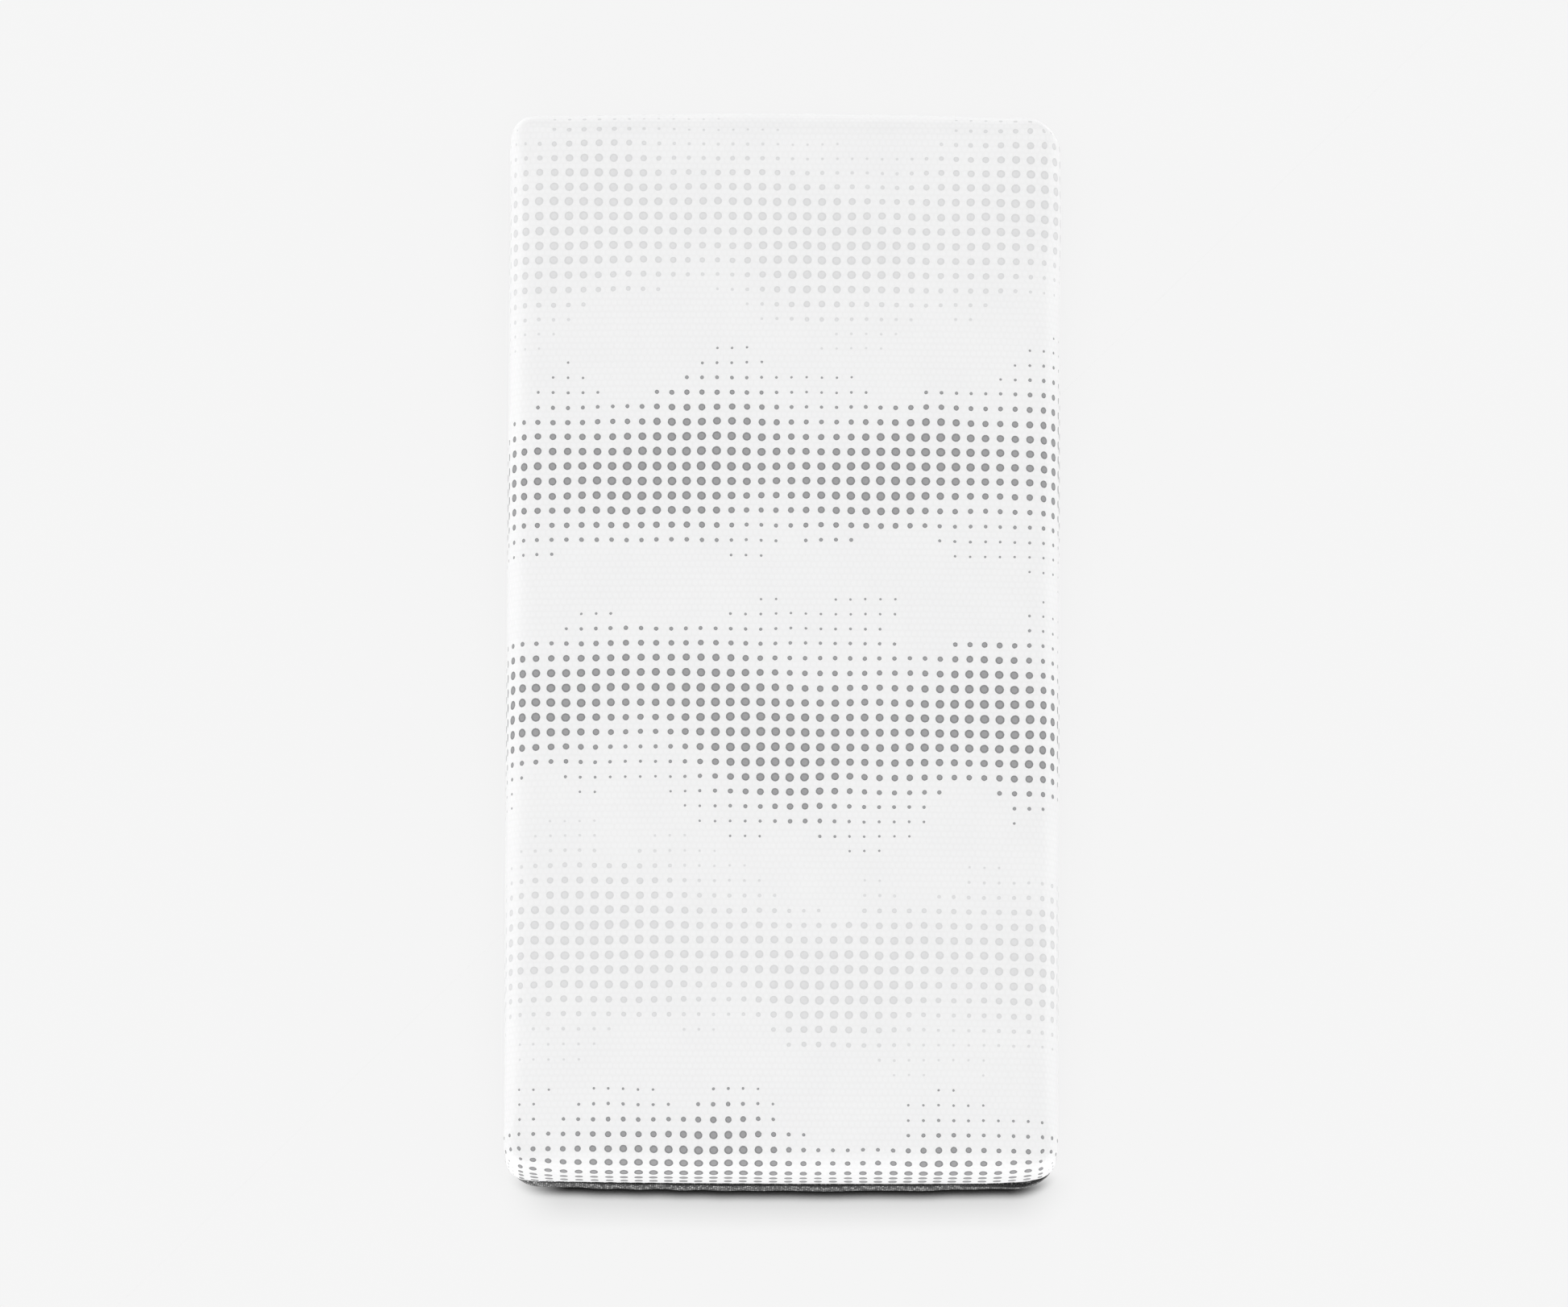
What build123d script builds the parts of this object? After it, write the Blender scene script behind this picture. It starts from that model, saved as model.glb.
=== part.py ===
"""Cot-bed memory foam mattress in a zip-off cover, all sizes in millimetres.

The foot end faces -Y, the long sides face -X and +X, and the underside lies on z = 0.
"""

import os
from math import sqrt

from build123d import *

# Overall sizes
width = 706.0
length = 1392.0
height = 152.0

# Form of the filled cover
corner_r = 27.0  # plan radius of the puffed corners of the printed cover
core_corner_r = 48.0  # plan radius of the corners of foam, zip and base
end_bow = 5.0  # how far each short end bows outward at its middle
roll_r = 24.0  # rolled edge round the top
crown = 9.0  # rise of the top from its rolled edge to its middle
crown_flat = 60.0  # half width of the level strip along the middle of the top
crown_steps = 5
crown_corner_r = 50.0  # plan radius of the level strip's corners
belly_r = 24.0  # side of the printed cover where it draws in toward the zip
belly_drop = 12.5  # how far below the hem that curve would bottom out
base_belly_r = 30.0  # such a curve at the top of the base border
base_set_in = 0.5  # base border set in from the widest part of the cover
base_roll_r = 16.0  # rolled lower edge of the base

# Heights
zip_z = 48.0  # middle of the zip
zip_open = 8.0  # from the border's upper edge to the cover's hem

# Thicknesses of the soft layers
cover_t = 5.6  # padded stretch knit at the sides; the crown thickens its padding in the middle
hem_t = 1.5  # the same knit where it is pressed flat along the zip
lining_t = 0.8  # waterproof lining
panel_t = 3.0  # bottom panel
memory_t = 38.0  # memory foam layer

# Where the bottom panel is sewn to the border, in from the outline
panel_seam_in = 24.0

# Clearances
soft_gap = 0.3  # between soft layers that part
lining_gap = 0.1  # lining inside the cover it is sewn into
run_gap = 0.25  # slider over chain and tape
end_gap = 0.3  # slider to hems, stops and the two chain halves

# Zip: flat tapes with a half chain along the edge of each
tape_t = 0.7
tape_w = 18.0
chain_t = 1.4
chain_w = 2.0
chain_split = 1.2  # between the two halves, for the slider's post
lining_up = 20.0  # the lining starts this far above the middle of the zip

# Slider, parked near the head end on the +X side
park_from_head = 140.5
slider_len = 10.0
slider_plate = 1.2
slider_back = 1.1
slider_lip = 0.8
slider_post = 3.6
slider_round = 2.2
eye_round = 2.0
eye_len = 7.0
eye_wide = 2.4
eye_wall = 1.0
eye_clear = 1.8  # inside height of the eye

# Pull tab
pin_d = 1.2
tab_len = 24.0
tab_wide = 6.4
tab_t = 1.2
tab_round = 2.5
tab_slot = 11.0
tab_slot_round = 1.2
tab_arm_gap = 0.3

# Chain ends and stops, measured along the side from the parked slider
upper_chain_short = 7.0
stop_len = 3.0
stop_tall = 0.5  # how far a stop stands above the chain
zip_end_space = 22.0  # bare tape between the two stops

# How far a cutting solid runs past what it cuts
cut_over = 5.0

# Derived sizes
half_w = width / 2
park_y = length / 2 - park_from_head
edge_z = height - crown
hem_z = zip_z + zip_open / 2
border_z = zip_z - zip_open / 2
belly_up = belly_r - belly_drop
hem_in = belly_r - sqrt(belly_r**2 - belly_up**2)
tape_in = hem_in + hem_t
chain_in = tape_in - chain_t
back_in = tape_in + tape_t + run_gap
foam_in = back_in + slider_back + soft_gap
lining_in = cover_t + lining_gap
split_low = zip_z - chain_split / 2
split_high = zip_z + chain_split / 2
rebate_top = split_high + tape_w + end_gap
rebate_low = split_low - tape_w - end_gap
foam_low = panel_t + soft_gap
foam_split = edge_z - foam_in - memory_t
bow_r = (half_w**2 + end_bow**2) / (2 * end_bow)
bow_centre = length / 2 - bow_r

os.makedirs("parts", exist_ok=True)


def outline(inset, radius):
    """Plan of the mattress, drawn in evenly by inset: straight sides and bowed ends."""
    x = half_w - inset
    r = bow_r - inset
    y_mid = bow_centre + r
    y_corner = bow_centre + sqrt(r**2 - x**2)
    right = Line((x, -y_corner), (x, y_corner))
    head = ThreePointArc((x, y_corner), (0, y_mid), (-x, y_corner))
    left = Line((-x, y_corner), (-x, -y_corner))
    foot = ThreePointArc((-x, -y_corner), (0, -y_mid), (x, -y_corner))
    face = make_face([right, head, left, foot])
    return fillet(face.vertices(), radius)


def block(inset, low, high):
    """Upright block on the drawn-in plan of the core between two heights."""
    return extrude(Pos(0, 0, low) * outline(inset, core_corner_r - inset), high - low)


def ring(outer, inner, low, high):
    """Upright band between two drawn-in plans."""
    return block(outer, low, high) - block(inner, low - cut_over, high + cut_over)


def crown_form():
    """The crown: rises gently from the inner line of the rolled edge to a level strip."""
    sections = []
    for step in range(crown_steps + 1):
        share = step / crown_steps
        inset = roll_r + share * (half_w - roll_r - crown_flat)
        radius = corner_r - roll_r + share * (crown_corner_r - corner_r + roll_r)
        lift = crown * (3 * share**2 - 2 * share**3)
        sections.append(Pos(0, 0, edge_z + lift) * outline(inset, radius))
    return loft(sections, ruled=True)


def bevel(radius):
    """Leg of the bevel that just touches a roll of this radius from outside."""
    return radius * (2 - sqrt(2))


def rolled(body, inset):
    """The body with the rolled top edge, drawn in by inset."""
    return fillet(high_edges(body), roll_r - inset)


def bevelled(inset, low):
    """Level-topped block with a plain bevel for the roll, for faces that no one sees."""
    body = block(inset, low, edge_z - inset)
    return chamfer(high_edges(body), bevel(roll_r - inset))


def low_edges(body):
    return body.faces().sort_by(Axis.Z)[0].edges()


def high_edges(body):
    return body.faces().sort_by(Axis.Z)[-1].edges()


def side_box(inset_out, inset_in, y0, y1, z0, z1):
    """Box on the +X side, given by depths in from the widest outline."""
    sizes = (inset_in - inset_out, y1 - y0, z1 - z0)
    centre = (half_w - (inset_in + inset_out) / 2, (y0 + y1) / 2, (z0 + z1) / 2)
    return Pos(*centre) * Box(*sizes)


# Printed cover: a padded shell that draws in toward its hem, open below
cover_low = hem_z - belly_drop
cover_out = extrude(Pos(0, 0, cover_low) * outline(0, corner_r), edge_z - cover_low)
cover_out = rolled(cover_out, 0) + crown_form()
cover_out = fillet(low_edges(cover_out), belly_r)
cover_out = split(cover_out, Plane.XY.offset(hem_z), Keep.TOP)
cover_space = bevelled(cover_t, hem_z - cut_over)
cover_rebate = block(tape_in, hem_z - cut_over, rebate_top)
top_cover = cover_out - cover_space - cover_rebate
export_step(top_cover, "parts/top_cover.step")

# Waterproof lining sewn inside the cover above the zip tape
lining_low = zip_z + lining_up
lining_space = bevelled(lining_in + lining_t, lining_low - cut_over)
cover_lining = bevelled(lining_in, lining_low) - lining_space
export_step(cover_lining, "parts/cover_lining.step")

# Base: a tub with rolled lower edge, cut along the seam into border and bottom panel
border_in = hem_in - base_set_in
border_rise = sqrt(base_belly_r**2 - (base_belly_r - border_in) ** 2)
tub_top = border_z + base_belly_r - border_rise
tub_roll_in = base_roll_r - (cover_t - base_set_in)
tub_out = block(base_set_in, 0, tub_top)
tub_out = fillet(low_edges(tub_out), base_roll_r)
tub_out = fillet(high_edges(tub_out), base_belly_r)
tub_out = split(tub_out, Plane.XY.offset(border_z), Keep.BOTTOM)
tub_space = block(cover_t, panel_t, tub_top)
tub_space = chamfer(low_edges(tub_space), bevel(tub_roll_in))
tub_rebate = block(tape_in, rebate_low, tub_top)
tub = tub_out - tub_space - tub_rebate
panel_cut = block(panel_seam_in, -cut_over, panel_t + cut_over)
base_border = tub - panel_cut
export_step(base_border, "parts/base_border.step")
base_panel = tub & panel_cut
export_step(base_panel, "parts/base_panel.step")

# Foam core: memory foam glued on a firmer support block
memory_foam = rolled(block(foam_in, foam_split, edge_z - foam_in), foam_in)
export_step(memory_foam, "parts/memory_foam.step")
support_foam = block(foam_in, foam_low, foam_split)
support_foam = chamfer(low_edges(support_foam), bevel(tub_roll_in))
export_step(support_foam, "parts/support_foam.step")

# Zip tapes: the upper one hangs from the cover, the lower one stands on the base
tape_back = tape_in + tape_t
zipper_tape_upper = ring(tape_in, tape_back, split_high, split_high + tape_w)
export_step(zipper_tape_upper, "parts/zipper_tape_upper.step")
zipper_tape_lower = ring(tape_in, tape_back, split_low - tape_w, split_low)
export_step(zipper_tape_lower, "parts/zipper_tape_lower.step")

# Half chains, each open where the ends of the zip meet
stop_y = park_y + slider_len / 2 + end_gap
start_y = stop_y + 2 * stop_len + zip_end_space
cut_out = chain_in - cut_over
cut_in = tape_in + cut_over
upper_y = park_y - upper_chain_short
upper_end = side_box(cut_out, cut_in, upper_y, start_y, zip_z, zip_z + zip_open)
lower_end = side_box(cut_out, cut_in, stop_y, start_y, zip_z - zip_open, zip_z)
zipper_chain_upper = ring(chain_in, tape_in, split_high, split_high + chain_w) - upper_end
export_step(zipper_chain_upper, "parts/zipper_chain_upper.step")
zipper_chain_lower = ring(chain_in, tape_in, split_low - chain_w, split_low) - lower_end
export_step(zipper_chain_lower, "parts/zipper_chain_lower.step")

# Stops crimped on the two ends of the lower chain
stop_out = chain_in - stop_tall
stop_low = split_low - chain_w
zipper_end_stop = side_box(stop_out, tape_in, stop_y, stop_y + stop_len, stop_low, split_low)
export_step(zipper_end_stop, "parts/zipper_end_stop.step")
zipper_start_stop = side_box(stop_out, tape_in, start_y - stop_len, start_y, stop_low, split_low)
export_step(zipper_start_stop, "parts/zipper_start_stop.step")

# Slider: front and back plates joined by the post that runs between the half chains
front_in = chain_in - run_gap
front_out = front_in - slider_plate
lip_in = tape_in - run_gap
y0 = park_y - slider_len / 2
y1 = park_y + slider_len / 2
z0 = border_z + end_gap
z1 = hem_z - end_gap
front_plate = side_box(front_out, front_in, y0, y1, z0, z1)
front_plate = fillet(front_plate.edges().filter_by(Axis.X), slider_round)
back_plate = side_box(back_in, back_in + slider_back, y0, y1, z0, z1)
back_plate = fillet(back_plate.edges().filter_by(Axis.X), slider_round)
lip_y0 = y0 + slider_round
lip_y1 = y1 - slider_round
upper_lip = side_box(front_in, lip_in, lip_y0, lip_y1, z1 - slider_lip, z1)
lower_lip = side_box(front_in, lip_in, lip_y0, lip_y1, z0, z0 + slider_lip)
post_z0 = split_low + end_gap
post_z1 = split_high - end_gap
post = side_box(front_in, back_in, y1 - slider_post, y1, post_z0, post_z1)
eye_out = front_out - eye_clear - eye_wall
eye_z0 = zip_z - eye_wide / 2
eye_z1 = zip_z + eye_wide / 2
eye_half = eye_len / 2
eye = side_box(eye_out, front_out, park_y - eye_half, park_y + eye_half, eye_z0, eye_z1)
eye = fillet(eye.edges().filter_by(Axis.Z).group_by(Axis.X)[-1], eye_round)
eye_y0 = park_y - eye_half + eye_wall
eye_y1 = park_y + eye_half - eye_wall
hole_z0 = eye_z0 - cut_over
hole_z1 = eye_z1 + cut_over
eye_hole = side_box(front_out - eye_clear, front_out, eye_y0, eye_y1, hole_z0, hole_z1)
eye_hole = fillet(eye_hole.edges().filter_by(Axis.Z).group_by(Axis.X)[-1], eye_round - eye_wall)
zipper_slider = front_plate + back_plate + upper_lip + lower_lip + post + (eye - eye_hole)
export_step(zipper_slider, "parts/zipper_slider.step")

# Pull tab: a slotted tag that turns on its pin inside the slider's eye
pin_x = half_w - (front_out - eye_clear / 2)
pin = Pos(pin_x, park_y, zip_z) * Cylinder(pin_d / 2, tab_wide)
tag_in = half_w - pin_x + tab_t / 2
tag_out = half_w - pin_x - tab_t / 2
tag_z0 = zip_z - tab_wide / 2
tag_z1 = zip_z + tab_wide / 2
tag = side_box(tag_out, tag_in, park_y - tab_len, park_y + pin_d / 2, tag_z0, tag_z1)
tag = fillet(tag.edges().filter_by(Axis.X).group_by(Axis.Y)[0], tab_round)
slot_wide = eye_wide + 2 * tab_arm_gap
slot_z0 = zip_z - slot_wide / 2
slot_z1 = zip_z + slot_wide / 2
slot_out = tag_out - cut_over
slot_in = tag_in + cut_over
slot = side_box(slot_out, slot_in, park_y - tab_slot, park_y + cut_over, slot_z0, slot_z1)
slot = fillet(slot.edges().filter_by(Axis.X).group_by(Axis.Y)[0], tab_slot_round)
zipper_pull = tag - slot + pin
export_step(zipper_pull, "parts/zipper_pull.step")
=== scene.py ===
"""Looks of the cot-bed mattress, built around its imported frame. Sizes are in metres."""

import math

import bpy
import numpy as np
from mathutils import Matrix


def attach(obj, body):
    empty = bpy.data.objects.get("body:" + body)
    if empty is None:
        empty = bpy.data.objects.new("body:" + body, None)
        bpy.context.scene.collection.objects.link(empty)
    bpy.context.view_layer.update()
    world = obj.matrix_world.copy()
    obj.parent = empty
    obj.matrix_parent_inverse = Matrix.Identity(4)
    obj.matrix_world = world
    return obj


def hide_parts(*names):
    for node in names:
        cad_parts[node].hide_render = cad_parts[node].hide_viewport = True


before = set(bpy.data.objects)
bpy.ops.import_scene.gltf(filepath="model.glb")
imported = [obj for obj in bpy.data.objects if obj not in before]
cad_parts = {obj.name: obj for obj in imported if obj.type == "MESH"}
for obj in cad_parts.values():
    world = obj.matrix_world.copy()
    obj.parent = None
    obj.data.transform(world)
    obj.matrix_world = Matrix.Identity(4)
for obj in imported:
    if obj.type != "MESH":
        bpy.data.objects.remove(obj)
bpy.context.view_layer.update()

MM = 0.001

# Form of the mattress, the same values as in the part's source
HALF_W = 353 * MM
LENGTH = 1392 * MM
CORNER_R = 27 * MM
CORE_CORNER_R = 48 * MM
END_BOW = 5 * MM
ROLL_R = 24 * MM
EDGE_Z = 143 * MM
CROWN = 9 * MM
CROWN_FLAT = 60 * MM
BELLY_R = 24 * MM
BELLY_DROP = 12.5 * MM
BASE_BELLY_R = 30 * MM
BASE_SET_IN = 0.5 * MM
BASE_ROLL_R = 16 * MM
ZIP_Z = 48 * MM
HEM_Z = 52 * MM
BORDER_Z = 42 * MM  # the cloth edge sags a little below the solid's
COVER_T = 5.6 * MM
HEM_T = 1.5 * MM
LINING_T = 0.8 * MM
PANEL_T = 3 * MM
MEMORY_T = 38 * MM
PANEL_SEAM_IN = 24 * MM
SOFT_GAP = 0.3 * MM
LINING_GAP = 0.1 * MM
RUN_GAP = 0.25 * MM
TAPE_T = 0.7 * MM
TAPE_W = 18 * MM
CHAIN_T = 1.4 * MM
CHAIN_W = 2 * MM
CHAIN_SPLIT = 1.2 * MM
LINING_UP = 20 * MM
SLIDER_BACK = 1.1 * MM
PARK_Y = LENGTH / 2 - 140.5 * MM
ZIP_END_LOW = PARK_Y - 7 * MM
ZIP_END_STOP = PARK_Y + 5.3 * MM
ZIP_END_START = PARK_Y + 33.3 * MM

# Derived sizes
HEM_IN = BELLY_R - math.sqrt(BELLY_R**2 - (BELLY_R - BELLY_DROP) ** 2)
TAPE_IN = HEM_IN + HEM_T
CHAIN_IN = TAPE_IN - CHAIN_T
FOAM_IN = TAPE_IN + TAPE_T + RUN_GAP + SLIDER_BACK + SOFT_GAP
LINING_IN = COVER_T + LINING_GAP
SPLIT_LOW = ZIP_Z - CHAIN_SPLIT / 2
SPLIT_HIGH = ZIP_Z + CHAIN_SPLIT / 2
REBATE_TOP = SPLIT_HIGH + TAPE_W + SOFT_GAP
REBATE_LOW = SPLIT_LOW - TAPE_W - SOFT_GAP
FOAM_LOW = PANEL_T + SOFT_GAP
FOAM_TOP = EDGE_Z - FOAM_IN
FOAM_SPLIT = FOAM_TOP - MEMORY_T
BOW_R = (HALF_W**2 + END_BOW**2) / (2 * END_BOW)
BOW_C = LENGTH / 2 - BOW_R
HALVINGS = 30
SQUARE = ((-1, -1), (1, -1), (1, 1), (-1, 1))

# Cloth turns over the edge on a wider curve at both ends of the roll; angles in degrees
EASE_R = 60 * MM
EASE_TURN = 15.0
TOP_TURN = 85.6
EASE_IN = (EASE_R - ROLL_R) * math.sin(math.radians(EASE_TURN))
ROLL_IN = EASE_R - (EASE_R - ROLL_R) * math.cos(math.radians(EASE_TURN))
TOP_IN = ROLL_IN + EASE_IN - EASE_R * math.cos(math.radians(TOP_TURN))
TOP_Z = EDGE_Z - EASE_R * (1 - math.sin(math.radians(TOP_TURN)))
EASE_Z = EDGE_Z - ROLL_IN - EASE_IN

rng = np.random.default_rng(11)


def smooth(low, high, value):
    """Smooth step from 0 at low to 1 at high."""
    share = np.clip((value - low) / (high - low), 0, 1)
    return share * share * (3 - 2 * share)


# Plan of the mattress


def corner_centre(radius):
    """Centre of a corner arc of this radius, and the angle that it turns through."""
    x = HALF_W - radius
    y = BOW_C + math.sqrt((BOW_R - radius) ** 2 - x**2)
    return x, y, math.atan2(y - BOW_C, x)


class Ring:
    """Points round the plan, anticlockwise from the middle of the corner at +X -Y.

    Each point has the angle of its outward normal. The anchors are the normals of the flat flap
    that the stretch from this point to the next one hangs on.
    """

    def __init__(self, n_long, n_short, n_half, radius):
        self.long = n_long + 2 * n_half
        self.short = n_short + 2 * n_half
        self.radius = radius
        self.corner_x, self.corner_y, self.turn = corner_centre(radius)
        spots = []
        for start in (0, math.pi):
            half = start + self.turn / 2
            full = start + self.turn
            last = start + math.pi - self.turn
            spots += [
                self.corner(start - self.turn / 2, start, n_half, start),
                self.side(start, n_long),
                self.corner(start, half, n_half, start),
                self.corner(half, full, n_half, full),
                self.bow(start, n_short),
                self.corner(last, last + self.turn / 2, n_half, last),
            ]
        data = np.concatenate(spots)
        self.count = len(data)
        self.point = data[:, :2]
        self.angle, self.anchor, self.anchor_end = data[:, 2:].T
        self.normal = np.stack([np.cos(self.angle), np.sin(self.angle)], 1)
        self.run = run_along(looped(self.point))

    def corner(self, a0, a1, count, anchor):
        a = a0 + (a1 - a0) * np.arange(count) / count
        side = math.copysign(1, math.cos((a0 + a1) / 2))
        end = math.copysign(1, math.sin((a0 + a1) / 2))
        x = side * self.corner_x + self.radius * np.cos(a)
        y = end * self.corner_y + self.radius * np.sin(a)
        return np.stack([x, y, a, *np.full((2, count), anchor)], 1)

    def side(self, start, count):
        sign = math.cos(start)
        y = sign * self.corner_y * (2 * np.arange(count) / count - 1)
        return np.stack([np.full(count, sign * HALF_W), y, *np.full((3, count), start)], 1)

    def bow(self, start, count):
        sign = math.cos(start)
        a = self.turn + (math.pi - 2 * self.turn) * np.arange(count + 1) / count
        x = sign * BOW_R * np.cos(a[:-1])
        y = sign * (BOW_C + BOW_R * np.sin(a[:-1]))
        return np.stack([x, y, a[:-1] + start, a[:-1] + start, a[1:] + start], 1)

    def at(self, inset):
        """The plan drawn in by inset, a number or one number for each point."""
        return self.point - self.normal * np.reshape(inset, (-1, 1))

    def near_corner(self, reach_end, reach_side):
        """1 round each corner, falling to 0 along the ends and the sides."""
        x, y = np.abs(self.point).T
        end = smooth(reach_end, 0, self.corner_x - x)
        side = smooth(reach_side, 0, self.corner_y - y)
        return np.where(y > self.corner_y, end, np.where(x > self.corner_x, side, 0))

    def by_corner(self, foot_left, foot_right, head_left, head_right):
        """A number for each point, chosen by the corner that it is nearest to."""
        x, y = self.point.T
        foot = np.where(x > 0, foot_right, foot_left)
        head = np.where(x > 0, head_right, head_left)
        return np.where(y < 0, foot, head)


def wrap(angle):
    """The same angle within half a turn of zero."""
    return (angle + math.pi) % math.tau - math.pi


def core_depth(point):
    """How deep plan points lie inside the outline of foam, zip and base."""
    corner_x, corner_y, turn = corner_centre(CORE_CORNER_R)
    x, y = np.abs(point).T
    edge = np.minimum(HALF_W - x, BOW_R - np.hypot(x, y - BOW_C))
    angle = np.arctan2(y - corner_y, x - corner_x)
    rounded = CORE_CORNER_R - np.hypot(x - corner_x, y - corner_y)
    return np.where((angle > 0) & (angle < turn), rounded, edge)


def core_inset(ring, depth):
    """Inset of each ring point at which its normal reaches this depth in the core's outline."""
    low = np.zeros(ring.count)
    high = np.full(ring.count, CORE_CORNER_R)
    for _ in range(HALVINGS):
        middle = (low + high) / 2
        short = core_depth(ring.at(middle)) < depth
        low = np.where(short, middle, low)
        high = np.where(short, high, middle)
    return high


def fill_grid(ring, border):
    """Plan points of the grid that fills a ring, from the ring's own points."""
    n, m = ring.long, ring.short
    right = border[: n + 1]
    head = border[n : n + m + 1][::-1]
    left = border[n + m : 2 * n + m + 1][::-1]
    foot = looped(border)[2 * n + m :]
    a = ((foot[:, 0] - foot[0, 0]) / (foot[-1, 0] - foot[0, 0]))[:, None, None]
    b = ((right[:, 1] - right[0, 1]) / (right[-1, 1] - right[0, 1]))[:, None]
    ends = (1 - b) * foot[:, None] + b * head[:, None]
    sides = (1 - a) * left + a * right
    low = (1 - a) * foot[0] + a * foot[-1]
    high = (1 - a) * head[0] + a * head[-1]
    return ends + sides - (1 - b) * low - b * high


def from_edge(plan):
    """Distance of plan points from the nearest side or end, the ends taken as straight."""
    return np.minimum(HALF_W - np.abs(plan[..., 0]), LENGTH / 2 - np.abs(plan[..., 1]))


def with_height(plan, z):
    """Plan points with a height, one number or one for each point."""
    height = np.broadcast_to(z, plan.shape[:-1])
    return np.concatenate([plan, height[..., None]], -1)


def crown_lift(plan):
    """Rise of the top above its rolled edge at plan points."""
    blunt = 45 * MM  # the ridge at each corner is rounded off this wide
    fullness = 2.2
    side = HALF_W - np.abs(plan[..., 0])
    end = BOW_R - np.hypot(plan[..., 0], np.abs(plan[..., 1]) - BOW_C)
    mitre = np.clip(1 - np.abs(side - end) / blunt, 0, 1) ** 2
    depth = np.minimum(side, end) - blunt / 4 * mitre
    share = np.clip((depth - TOP_IN) / (HALF_W - CROWN_FLAT - TOP_IN), 0, 1)
    return CROWN * (1 - (1 - share) ** fullness)


# Profiles, given as (inset, height) pairs from the outside round to the inside


def shares(count, first):
    return [k / count for k in range(0 if first else 1, count + 1)]


def arc(centre, radius, a0, a1, count, first=True):
    """Profile points on a circle; angles in degrees from outward, positive upward."""
    turns = [math.radians(a0 + (a1 - a0) * t) for t in shares(count, first)]
    return [(centre[0] - radius * math.cos(a), centre[1] + radius * math.sin(a)) for a in turns]


def line(p, q, count, first=False):
    return [(p[0] + (q[0] - p[0]) * t, p[1] + (q[1] - p[1]) * t) for t in shares(count, first)]


def looped(values):
    """Values with the first one again at the end."""
    return np.concatenate([values, values[:1]])


def run_along(path):
    """Distance along a path to each of its points."""
    steps = np.linalg.norm(np.diff(path, axis=0), axis=1)
    return np.concatenate([[0], np.cumsum(steps)])


def rows_from(ring, profile, extra=0.0):
    """Ring rows for a profile; extra is a further inset for each row and ring point."""
    insets = np.array(profile)[:, :1] + extra * np.ones((len(profile), ring.count))
    return np.array([with_height(ring.at(i), z) for i, (_, z) in zip(insets, profile)])


# Meshes


def link(name, data):
    """A new object in the scene."""
    obj = bpy.data.objects.new(name, data)
    bpy.context.scene.collection.objects.link(obj)
    return obj


class Builder:
    """Collects points, faces and their fabric and bake coordinates for one mesh."""

    def __init__(self, points):
        self.points = np.empty((0, 3))
        self.faces = []
        self.layers = {"fabric": [], "OFBake": []}
        self.add(points)

    def add(self, points):
        """Adds points and returns the number of the first."""
        first = len(self.points)
        self.points = np.concatenate([self.points, np.reshape(points, (-1, 3))])
        return first

    def put(self, corners, fabric, bake=None):
        """Adds faces; the last axis of corners runs round each face."""
        corners = np.asarray(corners)
        self.faces += corners.reshape(-1, corners.shape[-1]).tolist()
        for key, places in (("fabric", fabric), ("OFBake", bake)):
            if places is not None:
                self.layers[key].append(np.reshape(places, (-1, 2)))

    def finish(self, name, material, smooth_faces=True):
        mesh = bpy.data.meshes.new(name)
        mesh.from_pydata(self.points.tolist(), [], self.faces)
        for key, places in self.layers.items():
            if places:
                layer = mesh.uv_layers.new(name=key)
                layer.data.foreach_set("uv", np.concatenate(places).astype(np.float32).ravel())
        mesh.uv_layers["fabric"].active_render = True
        mesh.polygons.foreach_set("use_smooth", [smooth_faces] * len(mesh.polygons))
        mesh.update()
        mesh.materials.append(material)
        return link(name, mesh)


def point_values(obj, name, values):
    """One number for each point of a mesh, for its material to read."""
    layer = obj.data.attributes.new(name, "FLOAT", "POINT")
    layer.data.foreach_set("value", values.astype(np.float32))


def around(values):
    """Corners of the faces between rows of ring points; the rows run down the outside."""
    following = np.roll(values, -1, 1)
    return np.stack([values[:-1], values[1:], following[1:], following[:-1]], 2)


def grid_corners(values):
    """Corners of the faces of a grid, facing up."""
    return np.stack([values[:-1, :-1], values[1:, :-1], values[1:, 1:], values[:-1, 1:]], 2)


def strip_fabric(ring, lengths):
    """Fabric coordinates of ring faces as one strip: round the plan and down the profile, in mm."""
    return grid_corners(np.stack(np.meshgrid(ring.run, lengths), -1)) / MM


def stacked_bake(ring, lengths, shelves):
    """The same strip cut into shelves that fill the unit square."""
    margin = 0.03
    place = strip_fabric(ring, lengths) * MM
    shelf = (np.arange(ring.count) * shelves // ring.count)[:, None]
    starts = np.array([ring.run[-(-s * ring.count // shelves)] for s in range(shelves + 1)])
    across = (place[..., 0] - starts[shelf]) / np.diff(starts).max()
    down = place[..., 1] / lengths[-1]
    return np.stack([across, (shelf + margin + down * (1 - 2 * margin)) / shelves], -1)


def numbered(points, first=0):
    """Numbers for the points of a grid, from first on."""
    return first + np.arange(points[..., 0].size).reshape(points.shape[:2])


def shell(rows, top):
    """A filled grid with rows of ring points under its border: points, and numbers of both."""
    grid = numbered(top)
    border = [grid[-1, :-1], grid[:0:-1, -1], grid[0, :0:-1], grid[:-1, 0]]
    ids = np.concatenate([[np.concatenate(border)], numbered(rows[1:], grid.size)])
    points = np.concatenate([top.reshape(-1, 3), rows[1:].reshape(-1, 3)])
    return points, grid, ids


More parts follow.
